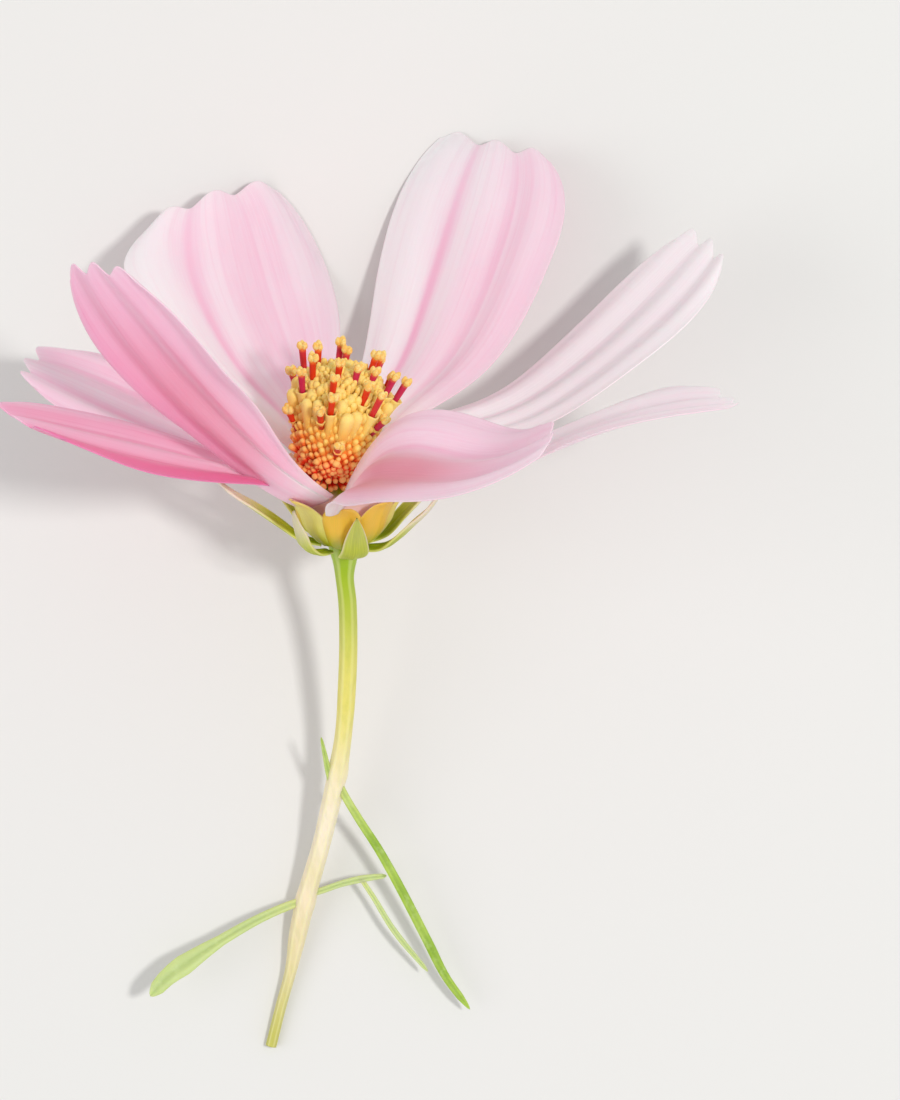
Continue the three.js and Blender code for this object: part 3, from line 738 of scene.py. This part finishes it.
def placeRows(own, first, second, third):
    # Evenly round the foot, each row higher than the last and leaning out less.
    k = np.arange(own["count"])
    row = k % own["rows"]
    angle = 360 * (k + own["shift"] * first) / len(k) + own["jitter"] * first
    outward = spokes(np.radians(angle))
    lowest, less, vary = own["lean"]
    lean = np.radians(lowest - less * row + vary * second)
    feet = footing(outward, own["ring"], own["base"] + own["rowHeight"] * row)
    return feet, leaning(outward, lean), own["length"] + own["vary"] * third


def placeColumns(tall, flank):
    # An anther column stands out of each open floret.
    own = antherColumns
    (feet, directions, lengths), (flankFeet, flankDirections) = tall, flank[:2]
    feet = np.concatenate([
        feet + directions * (lengths - own["sunk"])[:, None],
        flankFeet + flankDirections * own["flankFoot"],
    ])
    directions = np.concatenate([directions, flankDirections])
    lengths = np.where(np.arange(len(feet)) < len(lengths), own["length"], own["flankLength"])
    lengths = (lengths + own["sunk"]) * (0.88 + 0.24 * seededDraws(len(feet), own["seed"]))
    return feet, directions, lengths


def pollenParts(place):
    # A pollen heap is three lumps round the column's tip.
    own, lumps = pollen, []
    feet, directions, lengths = place
    tips = feet + directions * (lengths - own["below"])[:, None]
    for number in range(own["lumps"]):
        aside = spokes(np.radians(360 / own["lumps"] * number) + 2.4 * np.arange(len(feet)))
        size = own["girth"] * (0.72 + 0.3 * seededDraws(len(feet), own["seed"] + number))
        lump = tips + own["aside"] * aside, unit(directions + 0.35 * aside), own["length"] * size
        seed = own["seed"] + 10 + number
        lumps.append(turnedParts(lump, size, "heap", 16, seed, ripple=0.12, twist=1.7, lobes=3))
    return joined(lumps)


def makeDisc():
    florets, opened, draws = placeFlorets()
    small, onFlank = placeKnobs()
    tall, shut = [[values[which] for values in florets] for which in (opened, ~opened)]
    flank, rest = [[values[which] for values in small] for which in (onFlank, ~onFlank)]
    flank[2] = flank[2] + knobs["openLonger"]
    first, second = seededDraws(2 * skirt["count"], skirt["seed"]).reshape(-1, 2).T
    points, faces, marks = joined([
        tubeParts("open", tall),
        tubeParts("shut", shut),
        tubeParts("bud", placeRows(buds, *draws.reshape(-1, 3).T)),
        tubeParts("skirt", placeRows(skirt, first, second, first)),
        tubeParts("knob", rest),
        tubeParts("flank", flank),
        coreParts(),
    ])
    points, material = fromDisc(points), floretMaterial()
    makePiece("disc_tubes", points, faces, material, ["disc_florets"], marks)

    place = placeColumns(tall, flank)
    points, faces, marks = tubeParts("anther", place)
    makePiece("disc_anthers", fromDisc(points), faces, antherMaterial(), [], marks)
    points, faces, marks = pollenParts(place)
    makePiece("disc_pollen", fromDisc(points), faces, pollenMaterial(), [], marks)
    print("disc:", len(opened), "florets,", len(place[0]), "anther columns")


def floretMaterial():
    n = Nodes("floretSkin")
    fleck = n.noise(n.place(), 900.0, 2.0, 0.6)
    height = n.math("ADD", n.mark("rise"), n.math("MULTIPLY_ADD", n.mark("tone"), 0.22, -0.11))
    n.bump(fleck, 0.2, 0.0001)
    return n.layered(floretSkin, height=height, fleck=fleck)


def antherMaterial():
    n = Nodes("antherSkin")
    fleck = n.noise(n.place(), 1500.0, 2.0, 0.6)
    return n.layered(antherSkin, fleck=fleck)


def pollenMaterial():
    n = Nodes("pollenGrain")
    grain = n.noise(n.place(), 2600.0, 2.0, 0.7)
    n.bump(grain, 0.6, 0.00008)
    return n.layered(pollenSkin, grain=grain)


makeDisc()

bractShape = {
    "rows": 70,
    "columns": 28,
    "curl": 0.16,  # how far the edges turn out
    "rib": 0.08,
    "wave": 0.05,
}

innerBracts = {
    "slot": "inner_bract",
    # distance from the bloom's axis and height
    "route": (
        (2.6, -8.9), (3.5, -8.1), (4.5, -6.7), (5.0, -5.2), (5.7, -3.9), (6.4, -3.0), (7.3, -2.3),
    ),
    "flank": 5.0,  # radius of the cup that they make
    "width": 5.0,
    "first": -92,  # azimuth of the front one; the rest follow in even steps
    "baseShare": 0.25,  # of the sine that shapes the width, used up at the foot
    "blunt": 0.28,
    "gap": -0.12,  # less than nothing: they overlap a little
    "thickness": 0.36,
    "each": (  # how far it spreads past the flank, how much of the route it takes, tone
        (0.5, 0.9, 0.9), (0.7, 0.95, 0.9), (1, 1, 0.4), (1, 1, 0.5),
        (1, 0.95, 0.6), (1.2, 1, 0.4), (1, 0.9, 0.6), (1, 0.95, 0.0),
    ),
}

outerBracts = {
    "slot": "outer_bract",
    "foot": (2.45, -9.7),
    "underCup": 2.0,
    "pastFlank": 2.5,
    "baseShare": 0.2,
    "blunt": 0.8,
    "gap": 0.12,
    "thickness": 0.4,
    "each": (  # azimuth, length, spread, width, tone
        (-78, 8.4, 7, 3.0, 0.15),
        (-25, 11.5, 40, 2.3, 0.85),
        (20, 11.0, 46, 2.3, 0.6),
        (64, 10.5, 48, 2.3, 0.4),
        (109, 10.5, 50, 2.3, 0.4),
        (147, 11.0, 50, 2.2, 0.6),
        (184, 14.2, 53, 1.9, 1.0),
        (230, 9.0, 20, 2.0, 0.7),
    ),
}

innerBractSkin = {
    "first": (244, 230, 128),
    "layers": (
        ("tone", 0.0, 1.0, 1, (244, 190, 64)),
        ("run", 0.6, 0.12, 1, (184, 188, 12)),
        ("veins", 0.45, 0.7, 0.25, (214, 190, 50)),
        ("run", 0.75, 1.0, 0.4, (240, 176, 90)),
        ("edge", 0.88, 1.0, 0.3, (240, 228, 130)),
        ("upper", 0, 0, 0.8, (252, 206, 190)),
    ),
    "finish": (0.42, 0.4, (0.4, (1.0, 0.85, 0.3), 0.001)),
}
outerBractSkin = {
    "first": (182, 190, 44),
    "layers": (
        ("veins", 0.35, 0.7, 1, (160, 170, 24)),
        ("run", 0.3, 0.0, 0.6, (160, 188, 10)),
    ),
    "pale": shade(222, 222, 130),
    "palest": shade(232, 216, 200),
    "finish": (0.5, 0.35, (0.4, (0.8, 1.0, 0.25), 0.0009)),
}


def bractPiece(kind, number, path, azimuth, width, tone, material):
    # A lance-shaped blade along a path of [distance, height], curved round the bloom's axis. Its
    # half width is a sine of how far along it is, to the power blunt, and a fine rib runs down its
    # middle.
    shape = bractShape
    line = route(path, shape["rows"])
    s, v = np.linspace(0, 1, shape["rows"]), np.linspace(-1, 1, shape["columns"])
    run, across, base = s[:, None], v[None, :], kind["baseShare"]
    taper = np.maximum(np.sin(np.pi * (base + (1 - base) * s)), 0) ** kind["blunt"]
    half = np.minimum(width / 2 * np.maximum(taper, 0.05), np.pi / 8 * line[:, 0] - kind["gap"])
    turn = np.radians(azimuth) + across * (half / line[:, 0])[:, None]
    ahead = np.gradient(line, axis=0)
    normal = unit(np.stack([-ahead[:, 1], ahead[:, 0]], -1))
    curl = shape["curl"] * np.abs(across) ** 3 * smooth(run / 0.5)
    curl = curl - shape["rib"] * bell(across, 0, 0.14)
    wave = shape["wave"] * np.sin(9 * run + 3 * across) * np.abs(across)
    shift = (curl + wave) * np.minimum(1, half[:, None] / 0.8)
    middle = (line[:, :1] + shift * normal[:, :1])[..., None] * spokes(turn)
    middle[..., 2] += line[:, 1:] + shift * normal[:, 1:]
    thickness = kind["thickness"] * np.clip(1 - 0.7 * np.abs(across) ** 5 - 0.2 * run**6, 0.2, 1)
    points, faces, uv, under = bladeParts(fromBloom(middle), thickness, s, v)
    marks = {"under": under, "tone": np.full(len(points), tone)}
    name = "%s_%d" % (kind["slot"], number)
    makePiece(name + "_blade", points, faces, material, [name], marks, uv)


def innerPath(flare, reach):
    # The first part of the route, spread by the flare where it is past the flank.
    path = np.array(innerBracts["route"])
    path[:, 0] += np.maximum(path[:, 0] - innerBracts["flank"], 0) * (flare - 1)
    return route(path, 200)[: int(200 * reach)]


def outerPath(length, spread):
    # Runs out under the foot of the cup, clears its flank and leans out, lifting at the tip.
    under, past = outerBracts["underCup"], outerBracts["pastFlank"]
    free = (length - under - past) / 3
    angles = (72, max(48, spread), spread, spread, spread * 0.8)
    path = [np.array(outerBracts["foot"])]
    for step, angle in zip((under, past, free, free, free), angles):
        lean = np.radians(angle)
        path.append(path[-1] + step * np.array([np.sin(lean), np.cos(lean)]))
    return np.array(path)


def innerBractMaterial():
    n = Nodes("innerBractSkin")
    run, edge = n.runAndEdge()
    veins = n.noise(n.stretched(n.uv(), (34, 1.6, 1)), 1.0, 3.0, 0.6)
    upper = n.math("SUBTRACT", 1.0, n.mark("under"))
    n.bump(veins, 0.3, 0.00012)
    return n.layered(innerBractSkin, run=run, edge=edge, veins=veins, upper=upper)


def outerBractMaterial():
    n, look = Nodes("outerBractSkin"), outerBractSkin
    run, edge = n.runAndEdge()
    veins = n.noise(n.stretched(n.uv(), (26, 2.0, 1)), 1.0, 3.0, 0.6)
    pale = n.tint(look["pale"], look["palest"], run, 0.3, 0.75)
    colour = n.tint(n.layers(look, run=run, veins=veins), pale, run, 0.25, 0.85, n.mark("tone"))
    colour = n.tint(colour, pale, edge, 0.78, 0.97, 0.7)
    n.bump(veins, 0.3, 0.00012)
    return n.finish(colour, *look["finish"])


def makeBracts():
    kind, material = innerBracts, innerBractMaterial()
    turn = 360 // len(kind["each"])
    for k, (flare, reach, tone) in enumerate(kind["each"]):
        path, azimuth = innerPath(flare, reach), kind["first"] + turn * k
        bractPiece(kind, k + 1, path, azimuth, kind["width"], tone, material)
    kind, material = outerBracts, outerBractMaterial()
    for k, (azimuth, length, spread, width, tone) in enumerate(kind["each"]):
        bractPiece(kind, k + 1, outerPath(length, spread), azimuth, width, tone, material)
    print("bracts:", len(innerBracts["each"]), "inner,", len(kind["each"]), "outer")


makeBracts()

stemShape = {
    "rows": 420,
    "sides": 36,
    "ribs": 6,
    "ribDepth": 0.05,
    "ribbedTo": 1.2,  # the radius up to which it has ribs
    # x, y, z from the hub and radius, from the cut end up to the flare under the bloom
    "route": (
        (-8.3, -61.4, -21.05, 0.55), (-7.3, -57.4, -20.8, 0.55), (-6.2, -53.4, -20.4, 0.6),
        (-5.4, -49.4, -19.8, 0.9), (-4.5, -45.5, -18.9, 0.95), (-3.0, -40.3, -17.6, 0.9),
        (-1.9, -35.8, -16.2, 0.95), (-1.2, -32.6, -15.2, 0.95), (-0.5, -28.3, -13.6, 0.85),
        (-0.1, -23.5, -11.7, 0.9), (0.1, -18.5, -9.6, 0.9), (0.05, -14.6, -7.7, 0.9),
    ),
    # height along the bloom's axis and radius, where the stem flares into the bloom's seat
    "receptacle": (
        (-13.2, 0.95), (-12.2, 1.1), (-11.3, 1.35), (-10.4, 1.6), (-9.5, 1.75), (-8.8, 1.95),
        (-8.0, 2.5), (-7.0, 3.3), (-5.8, 3.8), (-4.8, 3.85), (-4.1, 3.65), (-3.5, 3.1), (-2.6, 1.8),
    ),
    # y from the hub, width and swelling of the joints where leaves grow
    "joints": ((-32.3, 0.9, 0.1), (-46.0, 1.0, 0.12)),
}

stemSkin = {
    "first": (196, 192, 96),
    "layers": (
        ("run", 0.0, 0.2, 1, (238, 222, 186)),
        ("run", 0.18, 0.4, 1, (246, 233, 208)),
        ("run", 0.4, 0.6, 1, (230, 220, 118)),
        ("run", 0.6, 0.84, 1, (158, 188, 18)),
        ("streak", 0.4, 0.7, 0.16, (150, 168, 40)),
        ("rib", 0.0, 1.0, 0.25, (244, 240, 190)),
        ("cloud", 0.45, 0.7, 0.15, (200, 196, 60)),
        ("cut", 0.3, 0.9, 1, (236, 232, 204)),
        ("seat", 0, 0, 1, (250, 214, 204)),
    ),
    "finish": (0.4, 0.4, (0.35, (0.9, 1.0, 0.3), 0.001)),
}


def makeStem():
    # The stem's sections stand square to its line. Their radius follows the given ones, waved by
    # the ribs, and swells a little at the two joints.
    shape = stemShape
    rows, sides = shape["rows"], shape["sides"]
    seat = [np.append(bloomTurn[:, 2] * height, radius) for height, radius in shape["receptacle"]]
    line = route(np.array(list(shape["route"]) + seat), rows)
    centre, radius, y = line[:, :3] + hub, line[:, 3], line[:, 1]
    ahead = unit(np.gradient(centre, axis=0))
    side = unit(np.cross(ahead, [[0.0, 0.0, 1.0]]))
    up = np.cross(side, ahead)
    swelling = sum(swell * bell(y, place, width) for place, width, swell in shape["joints"])
    turn = roundTurn(sides)
    wave = np.cos(shape["ribs"] * turn)
    ribs = 1 + shape["ribDepth"] * wave[None, :] * (radius < shape["ribbedTo"])[:, None]
    reach = (radius * (1 + swelling))[:, None] * ribs
    spoke = np.cos(turn)[None, :, None] * side[:, None] + np.sin(turn)[None, :, None] * up[:, None]
    rings = centre[:, None] + reach[..., None] * spoke
    points = np.concatenate([rings.reshape(-1, 3), centre[:1], centre[-1:]])
    points[:, 2] = np.maximum(points[:, 2], 0)
    length = -shape["route"][0][1]
    marks = {
        "run": np.append(np.repeat(np.clip((y + length) / length, 0, 1), sides), [0.0, 1.0]),
        "rib": np.append(np.tile(wave, rows), [0.0, 0.0]),
        "cut": np.append(np.zeros(rows * sides), [1.0, 0.0]),
        "seat": np.append(np.repeat(smooth((radius - 2.2) / 1.0), sides), [0.0, 1.0]),
    }
    faces = tubeFaces(rows, sides)
    makePiece("stem_skin", points, faces, stemMaterial(), ["stem"], marks)
    print("stem:", rows, "sections")


def stemMaterial():
    n = Nodes("stemSkin")
    streak = n.noise(n.stretched(n.place(), (1400, 60, 1400)), 1.0, 3.0, 0.6)
    n.bump(streak, 0.2, 0.0001)
    return n.layered(stemSkin, streak=streak, cloud=n.noise(n.place(), 140.0))


makeStem()

# Leaves: points along the middle of each blade from the hub, its widths at equal steps, and how
# far it rolls at half its length.
leaves = {
    "leaf_upper_right": [(
        (
            (-1.5, -32.4, -15.0), (-0.6, -34.4, -15.4), (0.9, -37.0, -15.9), (3.0, -40.3, -16.6),
            (4.9, -43.7, -17.2), (6.6, -47.0, -17.8), (8.3, -50.4, -18.3), (10.0, -53.8, -18.9),
            (12.6, -57.4, -19.5),
        ),
        (0.8, 0.9, 1.0, 1.0, 0.7), -14,
    )],
    "leaf_upper_left": [(
        ((-1.5, -34.0, -15.3), (-2.0, -32.6, -14.9), (-2.4, -30.6, -14.0), (-2.8, -28.6, -13.2)),
        (0.8, 0.65, 0.5, 0.25), 0,
    )],
    "leaf_lower_left": [(
        (
            (-5.0, -46.0, -18.9), (-6.2, -46.4, -18.7), (-9.1, -47.6, -17.9), (-12.6, -49.5, -17.3),
            (-16.4, -51.9, -16.5), (-19.0, -53.8, -16.0), (-20.6, -55.6, -15.7),
        ),
        (0.9, 1.0, 1.2, 2.2, 1.4), 10,
    )],
    "leaf_lower_right": [(
        (
            (-4.0, -45.2, -18.8), (-2.85, -44.85, -18.7), (-1.0, -44.2, -18.6), (1.5, -43.6, -18.5),
            (3.9, -43.3, -18.5),
        ),
        (0.7, 0.7, 0.8, 0.5), 8,
    ), (
        ((1.2, -43.6, -18.5), (2.4, -45.4, -18.6), (4.4, -48.7, -18.8), (8.2, -53.4, -19.2)),
        (0.5, 0.6, 0.65, 0.4), -8,
    )],
}

leafShape = {
    "rows": 120,
    "sides": 24,
    "thickness": 0.56,
    "groove": 0.16,
    "tip": 0.06,  # of the length, where it narrows to a point
}

leafSkin = {
    "paleness": {"leaf_upper_left": 0.4, "leaf_lower_left": 0.9, "leaf_lower_right": 1.0},
    "first": (174, 200, 84),
    "layers": (
        ("cloud", 0.35, 0.65, 1, (144, 178, 52)),
        ("tone", 0, 0, 0.85, (204, 216, 156)),
        ("run", 0.3, 0.0, 0.7, (210, 216, 142)),
        ("rib", 0, 0, 0.3, (122, 152, 44)),
        ("streak", 0.5, 0.75, 0.3, (206, 222, 150)),
    ),
    "finish": (0.45, 0.4, (0.35, (0.8, 1.0, 0.25), 0.0008)),
}


def leafParts(path, widths, rolled):
    # A thread of flattened oval sections with a groove along its upper side; its tip closes in a
    # point, and its foot starts inside the stem.
    shape = leafShape
    rows, sides = shape["rows"], shape["sides"]
    line = route(path, rows) + hub
    s, turn = np.linspace(0, 1, rows), roundTurn(sides)
    ahead = unit(np.gradient(line, axis=0))
    across = unit(np.cross([[0.0, 0.0, 1.0]], ahead))
    up = np.cross(ahead, across)
    roll = np.radians(rolled * np.sin(np.pi * s))[:, None]
    c, d = np.cos(roll), np.sin(roll)
    across, up = across * c + up * d, up * c - across * d
    half = np.interp(s, np.linspace(0, 1, len(widths)), widths) / 2
    point = np.sqrt(np.clip((1 - s) / shape["tip"], 0, 1))
    tall = np.minimum(shape["thickness"] / 2, 0.8 * half) * point
    groove = shape["groove"] * bell(np.cos(turn), 0, 0.35) * (np.sin(turn) > 0)
    oval = np.sin(turn) * (1 - 0.25 * np.cos(turn) ** 2)
    sideways = np.cos(turn) * (half * point)[:, None]
    raised = oval * tall[:, None] - groove * point[:, None]
    rings = line[:, None] + sideways[..., None] * across[:, None] + raised[..., None] * up[:, None]
    points = np.concatenate([rings.reshape(-1, 3), line[:1], line[-1:]])
    run = np.append(np.repeat(s, sides), [0.0, 1.0])
    rib = np.append(np.tile(groove / shape["groove"], rows), [0.0, 0.0])
    return points, [f[:, ::-1] for f in tubeFaces(rows, sides)], {"run": run, "rib": rib}


def leafMaterial():
    n = Nodes("leafSkin")
    streak = n.noise(n.place(), 1200.0)
    n.bump(streak, 0.25, 0.0001)
    return n.layered(leafSkin, streak=streak, cloud=n.noise(n.place(), 180.0, 3.0, 0.6))


def makeLeaves():
    material = leafMaterial()
    for name, blades in leaves.items():
        points, faces, marks = joined([leafParts(*blade) for blade in blades])
        marks["tone"] = np.full(len(points), leafSkin["paleness"].get(name, 0.0))
        makePiece(name + "_thread", points, faces, material, [name], marks)
    print("leaves:", len(leaves))


makeLeaves()

studio = {
    "floor": shade(226, 226, 224),
    "floorHalf": 2.0,  # metres, as the lights' places and sizes are
    "floorDrop": 0.0001,
    "camera": (10.5, -9.3, 420.0),  # from the hub
    "lens": 137.45,
    "world": 0.62,
    "aim": (0.0, 0.01, 0.02),
    "lights": {  # place, size, power, colour
        "keyLight": ((0.34, 0.05, 0.84), 0.11, 3.4, (1.0, 0.985, 0.96)),
        "fillLight": ((-0.55, -0.1, 0.55), 0.6, 1.3, (1.0, 0.99, 0.985)),
    },
}


def makeFloor():
    half = studio["floorHalf"]
    mesh = bpy.data.meshes.new("table")
    corners = [(-half, -half, 0), (half, -half, 0), (half, half, 0), (-half, half, 0)]
    mesh.from_pydata(corners, [], [(0, 1, 2, 3)])
    mesh.materials.append(Nodes("tableTop").finish(studio["floor"], 0.8))
    floor = addObject("table", mesh)
    floor.location.z = -studio["floorDrop"]


def areaLight(name, place, size, power, colour):
    light = bpy.data.lights.new(name, "AREA")
    light.shape, light.size, light.energy, light.color = "DISK", size, power, colour
    lamp = addObject(name, light)
    lamp.location = place
    aim = np.array(studio["aim"]) - np.array(place)
    lamp.rotation_euler = Vector(aim).to_track_quat("-Z", "Y").to_euler()


def makeStudio():
    scene = bpy.context.scene
    world = bpy.data.worlds.new("studio")
    world.use_nodes = True
    background = world.node_tree.nodes["Background"]
    background.inputs["Color"].default_value = (1, 1, 1, 1)
    background.inputs["Strength"].default_value = studio["world"]
    scene.world = world
    scene.view_settings.view_transform = "Standard"
    for name, light in studio["lights"].items():
        areaLight(name, *light)
    camera = bpy.data.cameras.new("camera")
    camera.lens = studio["lens"]
    camera.sensor_width = 36
    camera.clip_start, camera.clip_end = 0.01, 10
    seat = addObject("camera", camera)
    seat.location = (hub + np.array(studio["camera"])) / 1000
    scene.camera = seat


makeFloor()
makeStudio()
